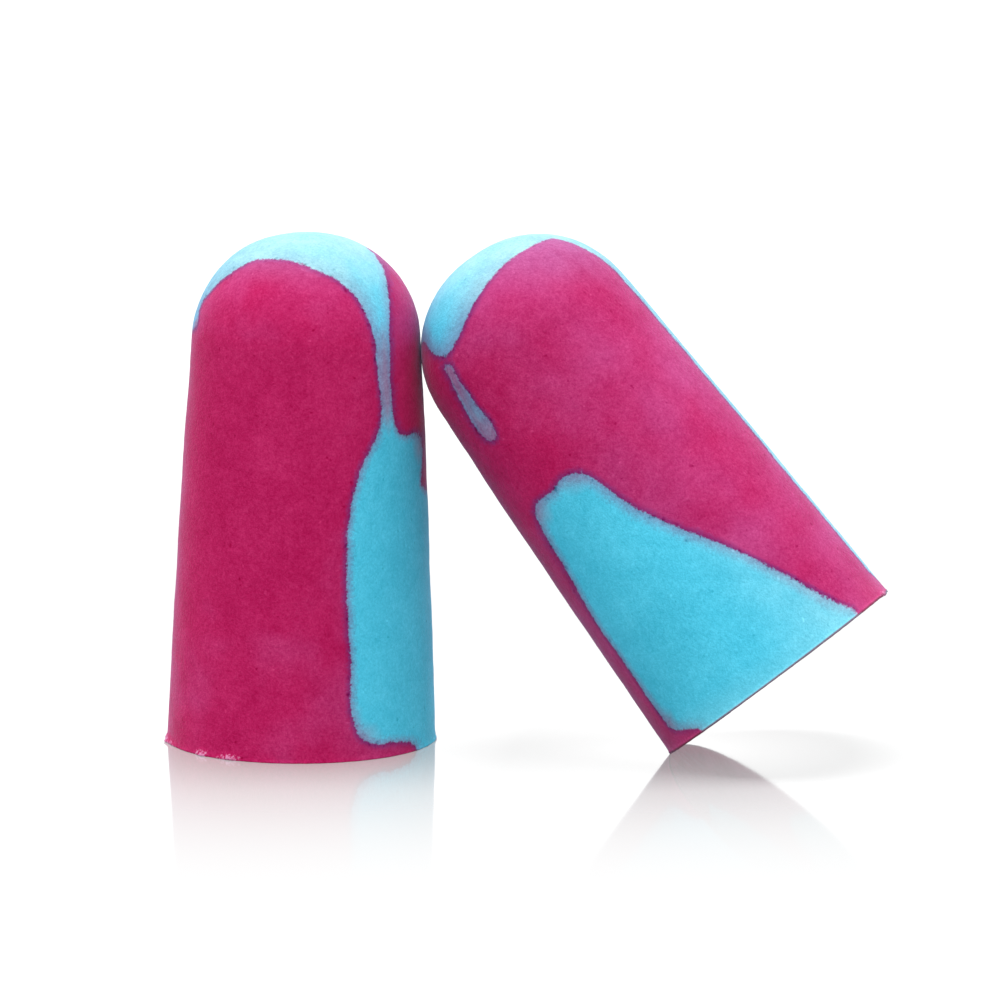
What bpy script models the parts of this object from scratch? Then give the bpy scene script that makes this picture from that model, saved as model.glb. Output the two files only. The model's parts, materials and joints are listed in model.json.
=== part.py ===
"""Two foam ear plugs: one stands on its cut base, the other leans its tip against it.

Each plug is one moulding of soft foam, cast from a magenta pour and a blue pour that cured
into each other. Every pour is a solid of its own here. A plug's own frame has its base centre
at the origin, +Z to the tip and -Y to its front. The row's origin is the upright plug's base.
"""

import math

import bmesh
import bpy
from mathutils import Matrix, Vector

MM = 0.001

# The moulded shape, the same for both plugs, in millimetres
BASE_RADIUS = 6.5
SHOULDER_RADIUS = 5.5
LENGTH = 24.8
DOME_HEIGHT = 5.0
DOME_POWER = 2.1  # 2 would be an ellipse, and more squares its shoulder
SIDE_BULGE = 0.06  # how far the tapered side stands out at its middle
SIDE_LENGTH = LENGTH - DOME_HEIGHT

# How finely the moulding is faceted
FACETS_ROUND = 48
DOME_RINGS = 9
SIDE_RINGS = 5
SEAM_RESOLUTION = 3

# The upright plug: its blade cut is out of square, so its axis leans a little
UPRIGHT_LEAN = 2.0
UPRIGHT_LEAN_TOWARDS = -50.0
UPRIGHT_TURN = 13.0

# The leaning plug: it stands on one point of its rim
LEAN_ANGLE = 38.0
LEANING_RIM = (18.2, 1.3, 0.0)
LEANING_TURN = 16.5

# The blanks run past the blade's cut, and the cutters run past the foam
BLANK_OVERCUT = 1.0
OUTSIDE = 8.0
UNDER = -1.6
OVER = LENGTH + 1.0
BEYOND = OUTSIDE + 1.0
DEEPER = UNDER - 0.5
HIGHER = OVER + 0.5
BLADE_SIZE = 24.0

# The pours are bonded: the seam is a hairline that keeps their solids apart
SEAM_GAP = 0.2
POUR_OVERLAP = 0.2

# The leaning plug's pours that end inside it, seen along its axis
BAND_CENTRE = (5.2, 3.0)
BAND_RADIUS = 4.7
LENS_CENTRE = (-1.0, -7.4)
LENS_RADIUS = 6.6
STREAK_BACK = -2.7

MAGENTA = (0.48, 0.021, 0.125, 1.0)
BLUE = (0.09, 0.50, 0.70, 1.0)
FOAM_ROUGHNESS = 0.9


# ---- scene and materials ----


def clear_scene():
    for obj in list(bpy.data.objects):
        bpy.data.objects.remove(obj, do_unlink=True)


def new_collection(name):
    collection = bpy.data.collections.new(name)
    bpy.context.scene.collection.children.link(collection)
    return collection


def foam_material(name, colour):
    material = bpy.data.materials.new(name)
    material.use_nodes = True
    shader = material.node_tree.nodes["Principled BSDF"]
    shader.inputs["Base Color"].default_value = colour
    shader.inputs["Roughness"].default_value = FOAM_ROUGHNESS
    shader.inputs["Metallic"].default_value = 0.0
    return material


def new_empty(name, matrix):
    empty = bpy.data.objects.new(name, None)
    PARTS.objects.link(empty)
    empty.matrix_world = matrix
    return empty


def turn(axis, degrees):
    return Matrix.Rotation(math.radians(degrees), 4, axis)


# ---- the moulded blank ----


def plug_radius(height):
    """The moulding's radius at a height above its base."""
    if height <= SIDE_LENGTH:
        along = height / SIDE_LENGTH
        taper = (SHOULDER_RADIUS - BASE_RADIUS) * along
        return BASE_RADIUS + taper + 4 * SIDE_BULGE * along * (1 - along)
    rise = (height - SIDE_LENGTH) / DOME_HEIGHT
    dome = SHOULDER_RADIUS * (1 - rise**DOME_POWER) ** (1 / DOME_POWER)
    side_slope = (SHOULDER_RADIUS - BASE_RADIUS - 4 * SIDE_BULGE) / SIDE_LENGTH
    return dome + side_slope * DOME_HEIGHT * rise * (1 - rise**2)


def profile_heights():
    """Ring heights from just under the tip down to the end of the blank."""
    for ring in range(DOME_RINGS - 1, 0, -1):
        yield SIDE_LENGTH + DOME_HEIGHT * math.sin(math.radians(90 * ring / DOME_RINGS))
    for ring in range(SIDE_RINGS, -1, -1):
        yield SIDE_LENGTH * ring / SIDE_RINGS
    yield -BLANK_OVERCUT


def moulded_blank(name, material, frame):
    """A turned bullet of foam, longer than the plug at its base."""
    outline = [(0.0, LENGTH)]
    outline += [(plug_radius(height), height) for height in profile_heights()]
    outline.append((0.0, -BLANK_OVERCUT))
    points = [(x * MM, 0.0, z * MM) for x, z in outline]
    edges = [(i, i + 1) for i in range(len(points) - 1)]
    mesh = bpy.data.meshes.new(name)
    mesh.from_pydata(points, edges, [])
    mesh.materials.append(material)
    blank = bpy.data.objects.new(name, mesh)
    PARTS.objects.link(blank)
    blank.parent = frame
    screw = blank.modifiers.new("turned", "SCREW")
    screw.steps = FACETS_ROUND
    screw.render_steps = FACETS_ROUND
    screw.use_merge_vertices = True
    screw.merge_threshold = 0.000001
    screw.use_smooth_shade = True
    return blank


# ---- cutters ----


def boolean(target, operation, cutter):
    modifier = target.modifiers.new(operation.lower(), "BOOLEAN")
    modifier.operation = operation
    modifier.solver = "EXACT"
    modifier.object = cutter


def as_cutter(name, mesh, matrix):
    """A mesh already in the row's frame once matrix is applied to it."""
    mesh.transform(matrix)
    cutter = bpy.data.objects.new(name, mesh)
    CUTTERS.objects.link(cutter)
    cutter.hide_render = True
    cutter.display_type = "WIRE"
    return cutter


def is_outside(x, z):
    return abs(x) >= OUTSIDE or z < 0 or z > LENGTH


def slab(name, frame, outline, front, back, grow):
    """A slab with an outline drawn on the plug's front: smooth in the foam, straight outside it.

    It reaches from depth front to depth back, and is grown by grow all round.
    """
    curve = bpy.data.curves.new(name, "CURVE")
    curve.dimensions = "2D"
    curve.fill_mode = "BOTH"
    curve.resolution_u = SEAM_RESOLUTION
    curve.extrude = ((back - front) / 2 + grow) * MM
    curve.offset = grow * MM
    spline = curve.splines.new("BEZIER")
    spline.bezier_points.add(len(outline) - 1)
    spline.use_cyclic_u = True
    for point, (x, z) in zip(spline.bezier_points, outline):
        point.co = (x * MM, z * MM, 0.0)
        kind = "VECTOR" if is_outside(x, z) else "AUTO"
        point.handle_left_type = kind
        point.handle_right_type = kind
    drawn = bpy.data.objects.new(name, curve)
    CUTTERS.objects.link(drawn)
    middle = Matrix.Translation((0.0, (front + back) / 2 * MM, 0.0))
    drawn.matrix_world = frame.matrix_world @ middle @ turn("X", 90)
    bpy.context.view_layer.update()
    evaluated = drawn.evaluated_get(bpy.context.evaluated_depsgraph_get())
    mesh = bpy.data.meshes.new_from_object(evaluated)
    matrix = drawn.matrix_world.copy()
    bpy.data.objects.remove(drawn, do_unlink=True)
    welded = bmesh.new()
    welded.from_mesh(mesh)
    bmesh.ops.remove_doubles(welded, verts=welded.verts, dist=0.000001)
    bmesh.ops.recalc_face_normals(welded, faces=welded.faces)
    welded.to_mesh(mesh)
    welded.free()
    return as_cutter(name, mesh, matrix)


def column(name, frame, centre, radius, grow):
    """A round column along the plug's axis, wider than the blank is long at both ends."""
    mesh = bpy.data.meshes.new(name)
    solid = bmesh.new()
    height = LENGTH + 4 * BLANK_OVERCUT
    bmesh.ops.create_cone(
        solid,
        cap_ends=True,
        segments=FACETS_ROUND,
        radius1=(radius + grow) * MM,
        radius2=(radius + grow) * MM,
        depth=height * MM,
    )
    solid.to_mesh(mesh)
    solid.free()
    place = Matrix.Translation(Vector((centre[0], centre[1], LENGTH / 2)) * MM)
    return as_cutter(name, mesh, frame.matrix_world @ place)


def blade(name, matrix):
    """Everything below the plane of the cut."""
    mesh = bpy.data.meshes.new(name)
    solid = bmesh.new()
    bmesh.ops.create_cube(solid, size=BLADE_SIZE * MM)
    solid.to_mesh(mesh)
    solid.free()
    below = Matrix.Translation((0.0, 0.0, -BLADE_SIZE / 2 * MM))
    return as_cutter(name, mesh, matrix @ below)


# ---- the pours of the upright plug ----


def upright_blue(frame, grow):
    """Cap over the dome, a thin neck down the front, and the wide lower right flank."""
    arch = [(-5.4, 20.1), (-4.9, 21.6), (-3.2, 23.4), (-1.7, 24.0), (0.7, 23.6), (2.3, 22.6)]
    neck_left = [(3.2, 21.0), (3.5, 19.0), (3.65, 16.3)]
    flank_left = [(2.9, 14.6), (2.35, 12.6), (2.2, 9.0), (2.45, 5.0), (2.85, 1.5)]
    tongue = [(3.4, 1.05), (4.8, 0.85), (5.5, 0.5), (5.6, UNDER)]
    flank_right = [(OUTSIDE, UNDER), (OUTSIDE, 12.0), (5.85, 12.4), (5.6, 14.5), (5.3, 15.6)]
    neck_right = [(4.85, 15.6), (4.4, 16.1), (4.15, 17.6), (4.0, 20.4), (3.95, 22.2)]
    top = [(3.6, 23.4), (2.9, 24.1), (2.9, OVER), (-OUTSIDE, OVER), (-OUTSIDE, 19.6)]
    front_outline = [*arch, *neck_left, *flank_left, *tongue, *flank_right, *neck_right, *top]
    cap_outline = [(-5.4, 20.1), (-4.2, 19.7), (-2.4, 20.6), (-0.2, 22.4), (1.6, 23.2)]
    cap_outline += [(2.9, 24.1), (3.0, HIGHER), (-BEYOND, HIGHER), (-BEYOND, 19.6)]
    flank_outline = [(5.85, 12.4), (5.0, 12.9), (3.6, 11.6), (3.0, 8.6), (1.7, 5.2), (1.5, 2.4)]
    flank_outline += [(2.6, DEEPER), (BEYOND, DEEPER), (BEYOND, 11.8)]
    name = f"upright_blue_{grow:+}"
    front = slab(f"{name}_front", frame, front_outline, -OUTSIDE, POUR_OVERLAP, grow)
    cap = slab(f"{name}_back_cap", frame, cap_outline, -POUR_OVERLAP, OUTSIDE, grow)
    flank = slab(f"{name}_back_flank", frame, flank_outline, -POUR_OVERLAP, BEYOND, grow)
    boolean(front, "UNION", cap)
    boolean(front, "UNION", flank)
    return front


# ---- the pours of the leaning plug ----


def leaning_cap(frame, grow):
    """Cap on the dome, which runs on as a broad band down the back right."""
    front_outline = [(-4.1, 22.9), (-4.1, 22.2), (-3.7, 21.7), (-2.9, 21.9), (-1.2, 22.8)]
    front_outline += [(0.2, 23.3), (1.6, 23.5), (3.2, 23.3), (4.7, 22.5), (5.4, 21.4)]
    front_outline += [(OUTSIDE, 21.0), (OUTSIDE, OVER), (-OUTSIDE, OVER), (-OUTSIDE, 23.2)]
    back_outline = [(-4.6, 22.7), (-3.4, 22.0), (-1.8, 21.4), (-0.4, 19.6), (0.6, 17.6)]
    back_outline += [(2.6, 17.0), (BEYOND, 17.0), (BEYOND, HIGHER), (-BEYOND, HIGHER)]
    back_outline += [(-BEYOND, 22.9)]
    name = f"leaning_cap_{grow:+}"
    front = slab(f"{name}_front", frame, front_outline, -OUTSIDE, POUR_OVERLAP, grow)
    back = slab(f"{name}_back", frame, back_outline, -POUR_OVERLAP, OUTSIDE, grow)
    band = column(f"{name}_band", frame, BAND_CENTRE, BAND_RADIUS, grow)
    boolean(front, "UNION", back)
    boolean(front, "UNION", band)
    return front


def leaning_streak(frame, grow):
    """A thin streak under the cap, rounded at its lower end."""
    left = [(-3.9, 21.3), (-4.15, 20.6), (-4.4, 19.4), (-4.55, 17.9), (-4.45, 17.25)]
    right = [(-4.2, 17.1), (-3.95, 17.4), (-3.9, 18.9), (-3.85, 20.4)]
    return slab(f"leaning_streak_{grow:+}", frame, left + right, -OUTSIDE, STREAK_BACK, grow)


def leaning_flank(frame, grow):
    """The big lower field, a lens that reaches almost to the plug's axis."""
    top = [(-4.5, 13.4), (-3.5, 13.45), (-2.85, 13.65), (-2.0, 13.4), (-1.4, 12.2)]
    right = [(-0.8, 10.4), (1.05, 7.2), (3.1, 3.9), (4.45, 1.1), (5.1, 0.1), (5.7, UNDER)]
    corner = [(-4.4, UNDER), (-4.6, 0.1), (-5.1, 0.5), (-5.65, 0.9), (-5.8, 1.9)]
    left = [(-5.8, 4.2), (-5.55, 7.0), (-5.15, 10.3), (-4.9, 12.4)]
    name = f"leaning_flank_{grow:+}"
    outline = [*top, *right, *corner, *left]
    face = slab(f"{name}_face", frame, outline, -OUTSIDE, POUR_OVERLAP, grow)
    lens = column(f"{name}_lens", frame, LENS_CENTRE, LENS_RADIUS, grow)
    boolean(face, "INTERSECT", lens)
    return face


# ---- assembly ----


def make_plug(name, frame, cut, pours):
    """One plug: its magenta foam fills whatever its blue pours leave."""
    magenta = moulded_blank(f"{name}_magenta", MAGENTA_FOAM, frame)
    for suffix, shape in pours:
        blue = moulded_blank(f"{name}_{suffix}", BLUE_FOAM, frame)
        boolean(blue, "INTERSECT", shape(frame, -SEAM_GAP / 2))
        boolean(blue, "DIFFERENCE", cut)
        boolean(magenta, "DIFFERENCE", shape(frame, SEAM_GAP / 2))
    boolean(magenta, "DIFFERENCE", cut)


def make_upright_plug():
    lean = turn("Z", UPRIGHT_LEAN_TOWARDS) @ turn("Y", UPRIGHT_LEAN) @ turn("Z", -UPRIGHT_LEAN_TOWARDS)
    frame = new_empty("upright_frame", lean @ turn("Z", UPRIGHT_TURN))
    cut = blade("upright_blade", Matrix.Identity(4))
    make_plug("upright_plug", frame, cut, [("blue", upright_blue)])


def make_leaning_plug():
    rim = Matrix.Translation(Vector(LEANING_RIM) * MM)
    hinge = new_empty("tip_up_hinge", rim @ turn("Y", -LEAN_ANGLE))
    base = Matrix.Translation((BASE_RADIUS * MM, 0.0, 0.0))
    frame = new_empty("leaning_frame", hinge.matrix_world @ base @ turn("Z", LEANING_TURN))
    frame.parent = hinge
    frame.matrix_parent_inverse = hinge.matrix_world.inverted()
    cut = blade("leaning_blade", frame.matrix_world)
    pours = [
        ("blue_cap", leaning_cap),
        ("blue_streak", leaning_streak),
        ("blue_flank", leaning_flank),
    ]
    make_plug("leaning_plug", frame, cut, pours)


clear_scene()
PARTS = new_collection("foam_ear_plugs")
CUTTERS = new_collection("cutters")
MAGENTA_FOAM = foam_material("magenta_foam", MAGENTA)
BLUE_FOAM = foam_material("blue_foam", BLUE)
make_upright_plug()
make_leaning_plug()
bpy.context.view_layer.update()
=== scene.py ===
"""Two swirled foam ear plugs on a glossy white table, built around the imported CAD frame.

Each plug is one moulding, so it is one closed skin here. Its colours follow the frame's own
pour solids, which the skin replaces. Lengths in this file are in millimetres, and MM turns
them into Blender's metres.
"""

import json
import math

import bpy
import numpy as np
from mathutils import Matrix, Vector, noise
from mathutils.bvhtree import BVHTree


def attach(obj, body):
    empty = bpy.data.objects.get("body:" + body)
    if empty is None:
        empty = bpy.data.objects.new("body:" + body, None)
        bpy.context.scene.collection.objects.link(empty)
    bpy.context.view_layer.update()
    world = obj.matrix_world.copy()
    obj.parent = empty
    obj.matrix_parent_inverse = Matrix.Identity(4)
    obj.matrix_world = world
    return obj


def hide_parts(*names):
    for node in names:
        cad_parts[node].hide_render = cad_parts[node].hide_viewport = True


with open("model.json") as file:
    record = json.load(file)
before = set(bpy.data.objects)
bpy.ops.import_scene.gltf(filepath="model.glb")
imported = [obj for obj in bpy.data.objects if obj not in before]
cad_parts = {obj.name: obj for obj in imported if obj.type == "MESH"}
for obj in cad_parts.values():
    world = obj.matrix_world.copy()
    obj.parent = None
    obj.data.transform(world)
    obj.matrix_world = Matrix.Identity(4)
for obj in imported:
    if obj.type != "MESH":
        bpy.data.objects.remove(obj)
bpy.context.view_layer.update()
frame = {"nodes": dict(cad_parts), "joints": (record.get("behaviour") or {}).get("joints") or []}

MM = 0.001
UP = Vector((0.0, 0.0, 1.0))

# The moulded shape, as in the CAD model
BASE_RADIUS = 6.5
SHOULDER_RADIUS = 5.5
LENGTH = 24.8
DOME_HEIGHT = 5.0
DOME_POWER = 2.1
SIDE_BULGE = 0.06
SIDE_LENGTH = LENGTH - DOME_HEIGHT

# How the two plugs stand: angles in degrees
UPRIGHT_LEAN = 2.0
UPRIGHT_LEAN_TOWARDS = -50.0
UPRIGHT_TURN = 13.0
LEAN_ANGLE = 38.0
LEANING_TURN = 16.5
LEANING_RIM = Vector(frame["joints"][0]["pos_m"]) / MM  # where the leaning plug's rim is on the table

# How finely the skins are made
COLUMNS = 320
SIDE_RINGS = 152
DOME_RINGS = 66
BASE_RINGS = 30
EDGE_RINGS = 12
EDGE_WIDTH = 0.6  # the band on each side of the cut edge that has the finest rings
RIM_ROW = BASE_RINGS + EDGE_RINGS - 1

# The foam's relief: spacing and height of each scale of noise
DENTS = ((3.2, 0.035), (1.1, 0.012), (0.35, 0.008))
CUT_PORES = ((0.9, 0.05), (0.3, 0.04))

# The cut edge, where the blade tore the side and pushed it outwards
RIM_DEPTH = 0.45  # how far above the cut the tearing reaches
TEAR_SPACING = 0.28
LIP_ROUGHNESS = 0.6
FULLY_TORN_REACH = 0.1
TORN_SHARE = 0.6  # how torn a lip is on average, from 0 to 1
BURR_REACH = 0.04
BURR_DEPTH = 0.11

# Each plug's tear height, its lips (angle and half width in degrees, and reach), and its seed
UPRIGHT_TEAR = 0.035
UPRIGHT_LIPS = ((190.0, 8.0, 0.13), (356.0, 6.0, 0.05), (224.0, 3.5, 0.10), (239.0, 5.0, 0.10))
UPRIGHT_SEED = 3.0
LEANING_TEAR = 0.012
LEANING_LIPS = ((163.5, 3.0, 0.03), (343.5, 5.0, 0.08))
LEANING_SEED = 11.0


# ---- shape ----


def turn(axis, degrees):
    return Matrix.Rotation(math.radians(degrees), 4, axis)


def plug_radius(height):
    """The moulding's radius at a height above its base."""
    if height <= SIDE_LENGTH:
        along = height / SIDE_LENGTH
        taper = (SHOULDER_RADIUS - BASE_RADIUS) * along
        return BASE_RADIUS + taper + 4 * SIDE_BULGE * along * (1 - along)
    rise = (height - SIDE_LENGTH) / DOME_HEIGHT
    dome = SHOULDER_RADIUS * max(0.0, 1 - rise**DOME_POWER) ** (1 / DOME_POWER)
    side_slope = (SHOULDER_RADIUS - BASE_RADIUS - 4 * SIDE_BULGE) / SIDE_LENGTH
    return dome + side_slope * DOME_HEIGHT * rise * (1 - rise**2)


def upright_frame():
    lean = turn("Z", UPRIGHT_LEAN_TOWARDS) @ turn("Y", UPRIGHT_LEAN) @ turn("Z", -UPRIGHT_LEAN_TOWARDS)
    return lean @ turn("Z", UPRIGHT_TURN)


def leaning_frame():
    rim = Matrix.Translation(LEANING_RIM)
    base = Matrix.Translation((BASE_RADIUS, 0.0, 0.0))
    return rim @ turn("Y", -LEAN_ANGLE) @ base @ turn("Z", LEANING_TURN)


def smoothstep(low, high, x):
    """0 at low and 1 at high, where low may be the larger of the two."""
    t = min(1.0, max(0.0, (x - low) / (high - low)))
    return t * t * (3 - 2 * t)


def cut_height(cos, sin, cut_normal):
    """Height in the plug's frame at which its side meets the plane of its blade cut."""
    height = 0.0
    for _ in range(4):  # the radius changes with height, so it is found by going closer each time
        radius = plug_radius(height)
        height = -(cut_normal.x * cos + cut_normal.y * sin) * radius / cut_normal.z
    return height


def side_shares():
    """Share of the side's length at each ring above the rim, finest at the rim."""
    edge = EDGE_WIDTH / SIDE_LENGTH
    for ring in range(1, EDGE_RINGS):
        yield edge * ring / EDGE_RINGS
    for ring in range(SIDE_RINGS + 1):
        yield edge + (1 - edge) * ring / SIDE_RINGS


def base_shares():
    """Share of the radius at each ring of the base face, from the centre out to the rim."""
    edge = 1 - EDGE_WIDTH / BASE_RADIUS
    for ring in range(1, BASE_RINGS + 1):
        yield edge * ring / BASE_RINGS
    for ring in range(1, EDGE_RINGS + 1):
        yield edge + (1 - edge) * ring / EDGE_RINGS


def skin_points(cut_normal):
    """Rows of points in the plug's frame, from the base face's centre to the tip."""
    angles = [2 * math.pi * column / COLUMNS for column in range(COLUMNS)]
    spokes = [(math.cos(angle), math.sin(angle)) for angle in angles]
    cuts = [cut_height(cos, sin, cut_normal) for cos, sin in spokes]
    rows = []
    for share in base_shares():
        row = []
        for (cos, sin), cut in zip(spokes, cuts):
            radius = plug_radius(cut)
            row.append(Vector((cos * radius * share, sin * radius * share, cut * share)))
        rows.append(row)
    for share in side_shares():
        row = []
        for (cos, sin), cut in zip(spokes, cuts):
            height = cut + (SIDE_LENGTH - cut) * share
            radius = plug_radius(height)
            row.append(Vector((cos * radius, sin * radius, height)))
        rows.append(row)
    for ring in range(1, DOME_RINGS):
        height = SIDE_LENGTH + DOME_HEIGHT * math.sin(math.pi / 2 * ring / DOME_RINGS)
        radius = plug_radius(height)
        rows.append([Vector((cos * radius, sin * radius, height)) for cos, sin in spokes])
    return rows


def grid_faces(rows):
    """Faces over the rows, with a fan from point 0 at the base and one to the last point."""
    faces = []
    last = rows * COLUMNS + 1
    top = 1 + (rows - 1) * COLUMNS
    for column in range(COLUMNS):
        following = (column + 1) % COLUMNS
        faces.append((0, 1 + following, 1 + column))
        faces.append((top + column, top + following, last))
        for row in range(rows - 1):
            low = 1 + row * COLUMNS
            high = low + COLUMNS
            faces.append((low + column, low + following, high + following, high + column))
    return faces


def lip_reach(angle, lips):
    """How far the torn edge reaches outwards at an angle round the rim."""
    reach = 0.0
    for at, half_width, farthest in lips:
        off = (angle - at + 180) % 360 - 180
        reach = max(reach, farthest * math.exp(-((off / half_width) ** 2)))
    return reach


def pore_height(point, spot):
    """Relief of the cut face, which fades out towards the rim."""
    inward = smoothstep(BASE_RADIUS, BASE_RADIUS - EDGE_WIDTH, math.hypot(point.x, point.y))
    return -inward * sum((0.5 + noise.noise(spot / gap)) * tall for gap, tall in CUT_PORES)


def side_height(point, spot, above, tear_height, lips):
    """Relief of the side and dome, and how torn the foam is, from 0 to 1."""
    height = sum(noise.noise(spot / gap) * tall for gap, tall in DENTS)
    if above >= 2 * RIM_DEPTH:
        return height, 0.0
    tear = noise.noise(spot / TEAR_SPACING)
    reach = lip_reach(math.degrees(math.atan2(point.y, point.x)), lips)
    edge = smoothstep(RIM_DEPTH, 0.0, above)
    height += edge * (tear_height * tear + reach * (1 + LIP_ROUGHNESS * tear))
    height += BURR_REACH * math.exp(-((above / BURR_DEPTH) ** 2))
    torn = edge * min(1.0, reach / FULLY_TORN_REACH) * max(0.0, TORN_SHARE + tear)
    return height, torn


def add_attribute(mesh, name, values):
    attribute = mesh.attributes.new(name, "FLOAT", "POINT")
    attribute.data.foreach_set("value", np.array(values, dtype=np.float32))


def make_skin(name, matrix, cut_normal, tear_height, lips, seed):
    """One closed skin over a whole plug, with the attributes its material reads."""
    rows = skin_points(cut_normal)
    points = [Vector((0.0, 0.0, 0.0))]
    points += [point for row in rows for point in row]
    points.append(Vector((0.0, 0.0, LENGTH)))
    mesh = bpy.data.meshes.new(name)
    mesh.from_pydata([matrix @ point * MM for point in points], [], grid_faces(len(rows)))
    mesh.update()
    normals = np.zeros(len(points) * 3)
    mesh.vertices.foreach_get("normal", normals)
    normals = normals.reshape(-1, 3)

    rim = rows[RIM_ROW]
    first_side = 1 + RIM_ROW * COLUMNS
    places = []
    above_cut = []
    torn = []
    for index, point in enumerate(points):
        spot = point + Vector((seed, seed, seed))
        if index < first_side:
            above_cut.append(0.0)
            torn.append(0.0)
            height = pore_height(point, spot)
        else:
            above_cut.append(point.z - rim[(index - 1) % COLUMNS].z)
            height, torn_here = side_height(point, spot, above_cut[-1], tear_height, lips)
            torn.append(torn_here)
        places.append(matrix @ point + Vector(normals[index]) * height)
    coords = np.array(places) * MM
    coords[:, 2] = np.maximum(coords[:, 2], 0.0)  # nothing goes below the table
    mesh.vertices.foreach_set("co", coords.astype(np.float32).ravel())
    mesh.update()
    for polygon in mesh.polygons:
        polygon.use_smooth = True
    add_attribute(mesh, "cut_face", [float(index < first_side) for index in range(len(points))])
    add_attribute(mesh, "rest_up", normals[:, 2])
    add_attribute(mesh, "above_cut", above_cut)
    add_attribute(mesh, "torn", torn)
    skin = bpy.data.objects.new(name, mesh)
    bpy.context.scene.collection.objects.link(skin)
    return skin


# ---- colours from the frame's pours ----

# How thin a streak of blue is: its skin, blurred, against the same blur of a broad pour
BLUR_PASSES = 48
BLUR_WIDTH = 0.96


def tree_of(name):
    mesh = frame["nodes"][name].data
    corners = [vertex.co for vertex in mesh.vertices]
    return BVHTree.FromPolygons(corners, [tuple(polygon.vertices) for polygon in mesh.polygons])


def blurred(mask, passes):
    """A mask over the skin's points, averaged with its neighbours again and again."""
    grid = mask[1:-1].reshape(-1, COLUMNS).astype(float)
    for _ in range(passes):
        grid = (np.roll(grid, 1, 1) + grid + np.roll(grid, -1, 1)) / 3
        padded = np.vstack([grid[:1], grid, grid[-1:]])
        grid = (padded[:-2] + padded[1:-1] + padded[2:]) / 3
    ends = [[grid[0].mean()], grid.ravel(), [grid[-1].mean()]]
    return np.concatenate(ends)


def add_swirl(skin, magenta, blues):
    """Add how deep each point is in the blue foam (negative in the magenta), and how thin it is."""
    magenta_tree = tree_of(magenta)
    blue_trees = [tree_of(name) for name in blues]
    depths = []
    for vertex in skin.data.vertices:
        to_magenta = magenta_tree.find_nearest(vertex.co)[3]
        to_blue = min(tree.find_nearest(vertex.co)[3] for tree in blue_trees)
        depths.append((to_magenta - to_blue) / MM)
    depths = np.array(depths)
    broad_pour = np.array([0.5 + 0.5 * math.erf(depth / BLUR_WIDTH) for depth in depths])
    add_attribute(skin.data, "swirl", depths)
    add_attribute(skin.data, "blue_thin", broad_pour - blurred(depths > 0, BLUR_PASSES))


# ---- node helpers ----

DISPLAY_GAMMA = 2.2


class Nodes:
    """Short ways to add and link nodes in one material or world."""

    def __init__(self, owner):
        owner.use_nodes = True
        self.tree = owner.node_tree
        self.tree.nodes.clear()

    def add(self, kind, **settings):
        node = self.tree.nodes.new(kind)
        for name, value in settings.items():
            setattr(node, name, value)
        return node

    def link(self, source, target):
        self.tree.links.new(source, target)

    def put(self, target, value):
        """Link a socket to the target, or set the target to a plain value."""
        if isinstance(value, bpy.types.NodeSocket):
            self.link(value, target)
        else:
            target.default_value = value

    def maths(self, operation, *values):
        node = self.add("ShaderNodeMath", operation=operation)
        for socket, value in zip(node.inputs, values):
            self.put(socket, value)
        return node.outputs[0]

    def add_up(self, total, terms):
        """The total plus each term's source times its strength."""
        for source, strength in terms:
            total = self.maths("MULTIPLY_ADD", source, strength, total)
        return total

    def map(self, value, low, high, to_low=0.0, to_high=1.0, smooth=False):
        """The value taken from low..high to to_low..to_high, and held beyond both ends."""
        node = self.add("ShaderNodeMapRange")
        node.interpolation_type = "SMOOTHSTEP" if smooth else "LINEAR"
        for name, given in (
            ("Value", value),
            ("From Min", low),
            ("From Max", high),
            ("To Min", to_low),
            ("To Max", to_high),
        ):
            self.put(node.inputs[name], given)
        return node.outputs["Result"]

    def blend(self, factor, first, second, mode="MIX"):
        node = self.add("ShaderNodeMix", data_type="RGBA", blend_type=mode)
        node.clamp_result = False
        self.put(node.inputs[0], factor)
        self.put(node.inputs[6], first)
        self.put(node.inputs[7], second)
        return node.outputs[2]

    def attribute(self, name):
        return self.add("ShaderNodeAttribute", attribute_name=name).outputs["Fac"]

    def gamma(self, colour, power):
        node = self.add("ShaderNodeGamma")
        self.link(colour, node.inputs["Color"])
        node.inputs["Gamma"].default_value = power
        return node.outputs["Color"]

    def even_to_the_eye(self, colour, change):
        """The colour made lighter by change, as much in its dark channels as in its light ones."""
        grey = self.add("ShaderNodeCombineColor")
        for channel in ("Red", "Green", "Blue"):
            self.link(change, grey.inputs[channel])
        seen = self.blend(1.0, self.gamma(colour, 1 / DISPLAY_GAMMA), grey.outputs[0], "ADD")
        return self.gamma(seen, DISPLAY_GAMMA)

    def seen_by_camera(self, to_others, to_camera):
        """One value for what the camera sees directly and another for light and reflections."""
        seen = self.add("ShaderNodeLightPath").outputs["Is Camera Ray"]
        return self.map(seen, 0.0, 1.0, to_others, to_camera)


# ---- foam ----

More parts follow.
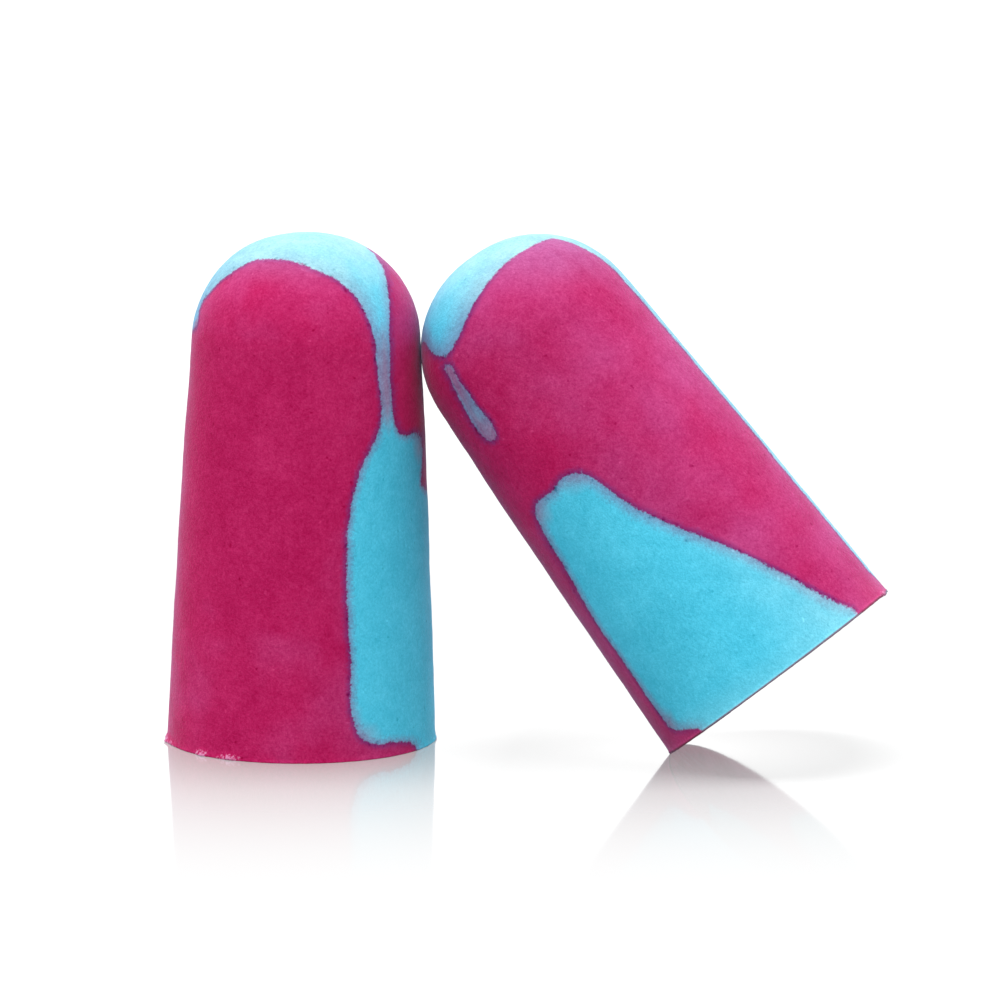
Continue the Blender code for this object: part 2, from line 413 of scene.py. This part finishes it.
MAGENTA_CORE = (0.520, 0.0145, 0.117, 1.0)
MAGENTA_BLOOM = (0.490, 0.044, 0.196, 1.0)
# painted highlight: the magenta that faces turned up are lightened towards
MAGENTA_TOP_HIGHLIGHT = (0.410, 0.090, 0.270, 1.0)
# painted light, partly wear: the colours that the cut edge and cut face are lightened towards
MAGENTA_LIT_AND_WORN = (0.600, 0.070, 0.230, 1.0)
BLUE_EDGE = (0.185, 0.340, 0.560, 1.0)
BLUE_CORE = (0.085, 0.640, 0.880, 1.0)
# painted highlight: the blue that faces turned up are lightened towards
BLUE_TOP_HIGHLIGHT = (0.330, 0.610, 0.670, 1.0)
# painted light, partly wear: the blue that the cut edge and cut face are lightened towards
BLUE_LIT_AND_WORN = (0.260, 0.780, 0.950, 1.0)
THIN_BLUE = (0.440, 0.030, 0.160, 1.0)
SEAM_VIOLET = (0.235, 0.028, 0.165, 1.0)
TORN_PINK = (0.680, 0.230, 0.420, 1.0)
# painted shade: the dark colour of a line along the cut edge
RIM_SHADE_COLOUR = (0.230, 0.045, 0.085, 1.0)
SHEEN_TINT = (0.55, 0.66, 1.0, 1.0)

# The foam's noises: spacing, octaves of detail, and their roughness
NOISES = {
    "grain": (0.075, 2.0, 0.7),
    "cells": (0.15, 1.0, 0.5),
    "pits": (0.26, 0.0, 0.5),
    "lumps": (0.45, 2.0, 0.5),
    "clouds": (1.3, 2.0, 0.5),
    "broad": (3.4, 2.0, 0.5),
}
# How far each noise moves the seams, and how strongly each lightens and darkens the colour
SEAM_NOISE = (("grain", 0.20), ("cells", 0.28), ("lumps", 0.22), ("clouds", 0.18))
SPECKLE = (("broad", 0.08), ("grain", 0.11), ("cells", 0.11), ("lumps", 0.07), ("clouds", 0.06))
# Dark pits and pale open cells: the range of pit noise that makes them, and how light they are
PITS = (((0.30, 0.38), -0.09), ((-0.30, -0.38), 0.06))
SEAM_PITS = (0.18, 0.26)
SEAM_PIT_TONE = -0.12
SEAM_PIT_REACH = 0.45

# Ranges of depth in the blue, which is negative in the magenta
BLOOM_RANGE = (-3.0, -0.6)
VIOLET_RANGE = (-0.50, -0.05)
SEAM_RANGE = (-0.09, 0.09)
WHICH_POUR = (-0.10, 0.10)

# Ranges of height above the cut
# a line of painted shade just above the cut edge
RIM_SHADE_LINE = (0.05, 0.10)
# a painted highlight line just above that
HIGHLIGHT_LINE = (0.10, 0.32)
# a band of painted bounce light from the table along the cut edge, partly wear
LIT_AND_WORN_BAND = (0.1, 1.6)
CORNER = (0.4, 1.3)
# height above the cut where the painted shade on undersides starts and is full
UNDERSIDE_SHADE_START = (7.0, 14.0)
CAP_START = (18.5, 20.5)
SIDE_END = (19.0, 22.0)

# Ranges of how far a face is turned up at rest: 1 is straight up and 0 is level with the table
UPPER_SIDE = (0.35, 0.50)
TOPMOST_SIDE = (0.59, 0.63)
# faces turning down, which get painted shade
UNDERSIDE = (0.2, -0.35)
# how far up a face must turn for the painted highlight on top to start, in magenta and in blue
MAGENTA_HIGHLIGHT_FROM = 0.55
BLUE_HIGHLIGHT_FROM = 0.10

# How strong each change is
CUT_FACE_LOSS = 0.5  # how much less blue shows on the cut face, in millimetres of depth
CORNER_LOSS = 2.4  # the same at the top corner of the cut, as a multiple of thin_back
BLOOM_AT_SEAM = 0.35
BLOOM_CLOUDS = 1.6
# how strong the painted shade on undersides is
UNDERSIDE_SHADE_STRENGTH = 1.2
CAP_FADE = 1.6  # how much wider the blue's fade is on the cap
THIN_RANGE = (0.06, 0.27)
THIN_STRENGTH = 0.60
# the painted highlight on top, broken up by clouds, and the least share of it
HIGHLIGHT_CLOUDS = (-0.25, 0.15)
HIGHLIGHT_LEAST = 0.7
# how strong the painted highlight line along the cut edge is
HIGHLIGHT_LINE_STRENGTH = 2.2
# how much paler the cut face is: partly painted bounce light from the table, partly the cut foam's own
# paler colour
CUT_FACE_LIT_AND_PALE = 0.6
FLECK_NOISE = 1.6
FLECK_RANGE = (0.25, 0.65)
TORN_RANGE = (0.02, 0.15)
BUMP_CELLS = 0.9
BUMP_ON_CUT_FACE = 3.0
BUMP_DISTANCE = 0.03


class FoamNodes(Nodes):
    """One plug's nodes, with the noises and the skin's attributes that its colours share."""

    def __init__(self, material):
        super().__init__(material)
        self.where = self.add("ShaderNodeTexCoord").outputs["Object"]
        self.noises = {name: self.noise(*recipe) for name, recipe in NOISES.items()}
        self.above_cut = self.attribute("above_cut")
        self.rest_up = self.attribute("rest_up")
        self.cut_face = self.attribute("cut_face")

    def noise(self, spacing, detail, roughness):
        """Noise from about -0.5 to 0.5."""
        node = self.add("ShaderNodeTexNoise")
        self.link(self.where, node.inputs["Vector"])
        node.inputs["Scale"].default_value = 1 / (spacing * MM)
        node.inputs["Detail"].default_value = detail
        node.inputs["Roughness"].default_value = roughness
        return self.maths("SUBTRACT", node.outputs["Fac"], 0.5)

    def of_noises(self, strengths):
        return [(self.noises[name], strength) for name, strength in strengths]


def depth_in_blue(n, thin_back):
    """The skin's swirl with ragged seams, less blue on the cut face and up the upper side."""
    on_upper_side = n.map(n.above_cut, *SIDE_END, -thin_back, 0.0)
    at_corner = n.map(n.above_cut, *CORNER, -CORNER_LOSS * thin_back, 0.0)
    terms = n.of_noises(SEAM_NOISE)
    terms.append((n.cut_face, -CUT_FACE_LOSS))
    terms.append((n.map(n.rest_up, *UPPER_SIDE), on_upper_side))
    terms.append((n.map(n.rest_up, *TOPMOST_SIDE), at_corner))
    return n.add_up(n.attribute("swirl"), terms)


def magenta_pour(n, depth, bloom):
    """Magenta, more violet near its seams, and deeper under an overhang as painted shade."""
    violet = n.map(depth, *BLOOM_RANGE, bloom, bloom + BLOOM_AT_SEAM)
    violet = n.add_up(violet, [(n.noises["broad"], BLOOM_CLOUDS)])
    # painted shade: undersides high on the plug turned deeper, redder magenta
    shade_strength = n.map(n.above_cut, *UNDERSIDE_SHADE_START, 0.0, UNDERSIDE_SHADE_STRENGTH)
    underside_shade = n.map(n.rest_up, *UNDERSIDE, 0.0, shade_strength)
    return n.blend(n.maths("SUBTRACT", violet, underside_shade), MAGENTA_CORE, MAGENTA_BLOOM)


def blue_pour(n, depth, blue_fade):
    """Blue, greyer near its seams, most of all on the cap, and mauve where it is a thin streak."""
    fade_end = n.map(n.above_cut, *CAP_START, blue_fade, CAP_FADE * blue_fade)
    blue = n.blend(n.map(depth, 0.0, fade_end, smooth=True), BLUE_EDGE, BLUE_CORE)
    thin = n.map(n.attribute("blue_thin"), *THIN_RANGE, 0.0, THIN_STRENGTH)
    return n.blend(thin, blue, THIN_BLUE)


def swirled(n, depth, magenta, blue):
    """Both pours, with a violet line on the magenta side of each seam."""
    pour = n.blend(n.map(depth, *VIOLET_RANGE, smooth=True), magenta, SEAM_VIOLET)
    return n.blend(n.map(depth, *SEAM_RANGE, smooth=True), pour, blue)


def with_painted_light(n, pour, in_blue, edge_light_and_wear):
    """The pours with painted highlight on top, painted light along the cut edge and over the cut face.
    """
    highlight_from = n.map(in_blue, 0.0, 1.0, MAGENTA_HIGHLIGHT_FROM, BLUE_HIGHLIGHT_FROM)
    # painted highlight on faces turned up
    top_highlight = n.map(n.rest_up, highlight_from, 1.0, smooth=True)
    cloudy = n.map(n.noises["clouds"], *HIGHLIGHT_CLOUDS, HIGHLIGHT_LEAST, 1.0)
    top_highlight = n.maths("MULTIPLY", top_highlight, cloudy)
    pour = n.blend(top_highlight, pour, n.blend(in_blue, MAGENTA_TOP_HIGHLIGHT, BLUE_TOP_HIGHLIGHT))
    # painted bounce light, partly wear, along the cut edge, and a painted highlight line
    lit_and_worn = n.map(n.above_cut, *LIT_AND_WORN_BAND, edge_light_and_wear, 0.0, smooth=True)
    highlight_line = n.map(n.above_cut, *HIGHLIGHT_LINE, HIGHLIGHT_LINE_STRENGTH * edge_light_and_wear, 0.0)
    lit_and_worn = n.maths("MAXIMUM", lit_and_worn, highlight_line)
    # cut face: partly painted bounce light, partly its own paler colour
    lit_and_worn = n.maths("MAXIMUM", lit_and_worn, n.maths("MULTIPLY", n.cut_face, CUT_FACE_LIT_AND_PALE))
    return n.blend(lit_and_worn, pour, n.blend(in_blue, MAGENTA_LIT_AND_WORN, BLUE_LIT_AND_WORN))


def rim_shade_and_flecks(n, pour, rim_shade):
    """A line of painted shade along the cut edge, and pale flecks where the foam is torn."""
    on_side = n.maths("SUBTRACT", 1.0, n.cut_face)
    # painted shade in a line along the cut edge
    rim_shaded = n.maths("MULTIPLY", n.map(n.above_cut, *RIM_SHADE_LINE, rim_shade, 0.0), on_side)
    pour = n.blend(rim_shaded, pour, RIM_SHADE_COLOUR)
    torn = n.attribute("torn")
    flecks = n.map(n.add_up(torn, [(n.noises["cells"], FLECK_NOISE)]), *FLECK_RANGE)
    flecks = n.maths("MULTIPLY", flecks, n.map(torn, *TORN_RANGE))
    return n.blend(flecks, pour, TORN_PINK)


def speckled(n, colour, depth):
    """The colour with the foam's mottling, pits and open cells, and extra pits along the seams."""
    pits = n.noises["pits"]
    terms = n.of_noises(SPECKLE)
    terms += [(n.map(pits, *span), tone) for span, tone in PITS]
    seam_tone = n.map(n.maths("ABSOLUTE", depth), 0.0, SEAM_PIT_REACH, SEAM_PIT_TONE, 0.0)
    terms.append((n.map(pits, *SEAM_PITS), seam_tone))
    return n.even_to_the_eye(colour, n.add_up(0.0, terms))


def foam_bump(n):
    """The finest cells, and coarser ones on the cut face."""
    pores = n.maths("MULTIPLY", n.cut_face, n.noises["lumps"])
    terms = [(n.noises["cells"], BUMP_CELLS), (pores, BUMP_ON_CUT_FACE)]
    height = n.add_up(n.noises["grain"], terms)
    bump = n.add("ShaderNodeBump")
    bump.inputs["Strength"].default_value = 0.6
    bump.inputs["Distance"].default_value = BUMP_DISTANCE * MM
    n.link(height, bump.inputs["Height"])
    return bump.outputs["Normal"]


def foam_material(name, bloom, blue_fade, edge_light_and_wear, rim_shade, thin_back):
    """Swirled foam, with the ways in which one plug differs from the other.

    bloom makes its magenta more violet, blue_fade is how far into the blue, in millimetres, the
    other colour shows, edge_light_and_wear makes its cut edge paler with a painted highlight line
    and painted bounce light, partly wear, rim_shade is how dark a line of painted shade along that
    edge is, and thin_back is how much narrower, in millimetres, the blue is that runs down the upper
    side.
    """
    material = bpy.data.materials.new(name)
    n = FoamNodes(material)
    depth = depth_in_blue(n, thin_back)
    in_blue = n.map(depth, *WHICH_POUR)
    colour = swirled(n, depth, magenta_pour(n, depth, bloom), blue_pour(n, depth, blue_fade))
    colour = with_painted_light(n, colour, in_blue, edge_light_and_wear)
    colour = rim_shade_and_flecks(n, colour, rim_shade)
    colour = speckled(n, colour, depth)

    shader = n.add("ShaderNodeBsdfPrincipled")
    n.link(colour, shader.inputs["Base Color"])
    n.link(foam_bump(n), shader.inputs["Normal"])
    shader.inputs["Roughness"].default_value = 0.65
    shader.inputs["Specular IOR Level"].default_value = 0.04
    shader.inputs["Sheen Weight"].default_value = 0.40
    shader.inputs["Sheen Roughness"].default_value = 0.3
    shader.inputs["Sheen Tint"].default_value = SHEEN_TINT
    output = n.add("ShaderNodeOutputMaterial")
    n.link(shader.outputs[0], output.inputs["Surface"])
    return material


# ---- table ----

TABLE_HALF_WIDTH = 1500.0
# Where the plugs stand on it: the middle of each place and its radius
STANDING_PLACES = ((Vector((0.0, 0.0, 0.0)), BASE_RADIUS), (LEANING_RIM, 3.5))
REFLECTION_REACH = 36.0  # how far from a plug its reflection has faded out
REFLECTION_FALL = 2.6
REFLECTION_STRENGTH = 0.5
TABLE_ROUGHNESS = 0.06
GLOW_RANGE = (30.0, 200.0)  # how far from a plug the table starts and ends getting whiter
GLOW_NEAR = 0.58
GLOW_FAR = 1.0
# What the plugs see of the table, which is less than the camera does
TABLE_COLOUR = 0.06
TABLE_COLOUR_TO_PLUGS = 0.02
GLOW_TO_PLUGS = 0.15
REFLECTION_TO_PLUGS = 0.1


def distance_from_plugs(n):
    """How far a point of the table is from the nearest place where a plug stands, in metres."""
    point = n.add("ShaderNodeNewGeometry").outputs["Position"]
    gaps = []
    for middle, radius in STANDING_PLACES:
        node = n.add("ShaderNodeVectorMath", operation="DISTANCE")
        n.link(point, node.inputs[0])
        node.inputs[1].default_value = middle * MM
        gaps.append(n.maths("SUBTRACT", node.outputs["Value"], radius * MM))
    return n.maths("MINIMUM", *gaps)


def table_material():
    """White gloss that glows a little, with a reflection that fades away from the plugs."""
    material = bpy.data.materials.new("white_gloss_table")
    n = Nodes(material)
    away = distance_from_plugs(n)
    near = n.maths("SUBTRACT", 1.0, n.maths("DIVIDE", away, REFLECTION_REACH * MM))
    strength = n.maths("POWER", n.maths("MAXIMUM", near, 0.0), REFLECTION_FALL)
    strength = n.maths("MULTIPLY", strength, REFLECTION_STRENGTH)
    strength = n.maths("MULTIPLY", strength, n.seen_by_camera(REFLECTION_TO_PLUGS, 1.0))

    diffuse = n.add("ShaderNodeBsdfDiffuse")
    n.link(n.seen_by_camera(TABLE_COLOUR_TO_PLUGS, TABLE_COLOUR), diffuse.inputs["Color"])
    glow = n.add("ShaderNodeEmission")
    low, high = GLOW_RANGE
    glow_seen = n.map(away, low * MM, high * MM, GLOW_NEAR, GLOW_FAR)
    n.link(n.seen_by_camera(GLOW_TO_PLUGS, glow_seen), glow.inputs["Strength"])
    white = n.add("ShaderNodeAddShader")
    n.link(diffuse.outputs[0], white.inputs[0])
    n.link(glow.outputs[0], white.inputs[1])

    mirror = n.add("ShaderNodeBsdfGlossy")
    mirror.inputs["Roughness"].default_value = TABLE_ROUGHNESS
    mixed = n.add("ShaderNodeMixShader")
    n.link(strength, mixed.inputs["Fac"])
    n.link(white.outputs[0], mixed.inputs[1])
    n.link(mirror.outputs[0], mixed.inputs[2])
    output = n.add("ShaderNodeOutputMaterial")
    n.link(mixed.outputs[0], output.inputs["Surface"])
    return material


def make_table():
    half = TABLE_HALF_WIDTH * MM
    mesh = bpy.data.meshes.new("table")
    corners = [(-half, -half, 0), (half, -half, 0), (half, half, 0), (-half, half, 0)]
    mesh.from_pydata(corners, [], [(0, 1, 2, 3)])
    mesh.materials.append(table_material())
    table = bpy.data.objects.new("table", mesh)
    bpy.context.scene.collection.objects.link(table)
    return table


# ---- studio ----

CAMERA_AZIMUTH = 13.2
CAMERA_ELEVATION = 10.0
CAMERA_DISTANCE = 500.0
CAMERA_TARGET = Vector((9.9, 0.0, 12.08))
FOCAL_LENGTH = 374.3
CLIP_START = 10.0
CLIP_END = 10000.0

LIGHT_FROM_FRONT = 1.32
LIGHT_FROM_BACK = 1.70
LAMP_DISTANCE = 400.0


def from_angles(azimuth, elevation):
    """The direction towards an azimuth and elevation, with the camera's side at azimuth 0."""
    a = math.radians(azimuth)
    e = math.radians(elevation)
    return Vector((math.sin(a) * math.cos(e), -math.cos(a) * math.cos(e), math.sin(e)))


def aim(thing, direction, distance):
    """Stand a camera or lamp off from the target in a direction, and point it at the target."""
    thing.location = (CAMERA_TARGET + direction * distance) * MM
    thing.rotation_mode = "QUATERNION"
    thing.rotation_quaternion = (-direction).to_track_quat("-Z", "Y")


def make_camera():
    data = bpy.data.cameras.new("camera")
    data.lens = FOCAL_LENGTH
    data.clip_start = CLIP_START * MM
    data.clip_end = CLIP_END * MM
    camera = bpy.data.objects.new("camera", data)
    bpy.context.scene.collection.objects.link(camera)
    aim(camera, from_angles(CAMERA_AZIMUTH, CAMERA_ELEVATION), CAMERA_DISTANCE)
    bpy.context.scene.camera = camera


def make_softbox(name, azimuth, elevation, size, power):
    data = bpy.data.lights.new(name, "AREA")
    data.shape = "SQUARE"
    data.size = size * MM
    data.energy = power
    lamp = bpy.data.objects.new(name, data)
    bpy.context.scene.collection.objects.link(lamp)
    aim(lamp, from_angles(azimuth, elevation), LAMP_DISTANCE)
    return lamp


def make_world():
    """A white room, dimmer on the camera's side and brighter behind the plugs."""
    world = bpy.data.worlds.new("white_room")
    n = Nodes(world)
    direction = n.add("ShaderNodeTexCoord").outputs["Generated"]
    along = n.add("ShaderNodeVectorMath", operation="DOT_PRODUCT")
    n.link(direction, along.inputs[0])
    along.inputs[1].default_value = -from_angles(CAMERA_AZIMUTH, 0.0)
    light = n.map(along.outputs["Value"], -1.0, 1.0, LIGHT_FROM_FRONT, LIGHT_FROM_BACK)
    background = n.add("ShaderNodeBackground")
    background.inputs["Color"].default_value = (1.0, 1.0, 1.0, 1.0)
    n.link(n.seen_by_camera(light, 1.0), background.inputs["Strength"])
    output = n.add("ShaderNodeOutputWorld")
    n.link(background.outputs[0], output.inputs["Surface"])
    bpy.context.scene.world = world


def light_only(lamp, thing):
    lit = bpy.data.collections.new("lit_by_" + lamp.name)
    lit.objects.link(thing)
    lamp.light_linking.receiver_collection = lit


# ---- assembly ----


def dress(skin, body, magenta, blues, material):
    """Colour a skin from its plug's pours and put it in their place."""
    add_swirl(skin, magenta, blues)
    skin.data.materials.append(material)
    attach(skin, body)
    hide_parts(magenta, *blues)


def make_upright_plug():
    matrix = upright_frame()
    table_normal = matrix.to_3x3().inverted() @ UP  # it is cut level with the table it stands on
    skin = make_skin(
        "upright_plug_foam", matrix, table_normal, UPRIGHT_TEAR, UPRIGHT_LIPS, UPRIGHT_SEED
    )
    foam = foam_material(
        "upright_foam", bloom=0.0, blue_fade=0.55, edge_light_and_wear=0.0, rim_shade=0.0, thin_back=0.0
    )
    dress(skin, "upright_plug", "upright_plug_magenta", ["upright_plug_blue"], foam)


def make_leaning_plug():
    skin = make_skin(
        "leaning_plug_foam", leaning_frame(), UP, LEANING_TEAR, LEANING_LIPS, LEANING_SEED
    )
    foam = foam_material(
        "leaning_foam", bloom=0.5, blue_fade=0.8, edge_light_and_wear=0.3, rim_shade=0.8, thin_back=0.45
    )
    blues = ["leaning_plug_blue_cap", "leaning_plug_blue_streak", "leaning_plug_blue_flank"]
    dress(skin, "leaning_plug", "leaning_plug_magenta", blues, foam)


make_upright_plug()
make_leaning_plug()
table = make_table()
make_world()
make_softbox("overhead", azimuth=215.0, elevation=66.0, size=300.0, power=0.5)
table_light = make_softbox("table_light", azimuth=193.0, elevation=86.0, size=210.0, power=10.5)
light_only(table_light, table)
make_camera()
bpy.context.scene.view_settings.view_transform = "Standard"
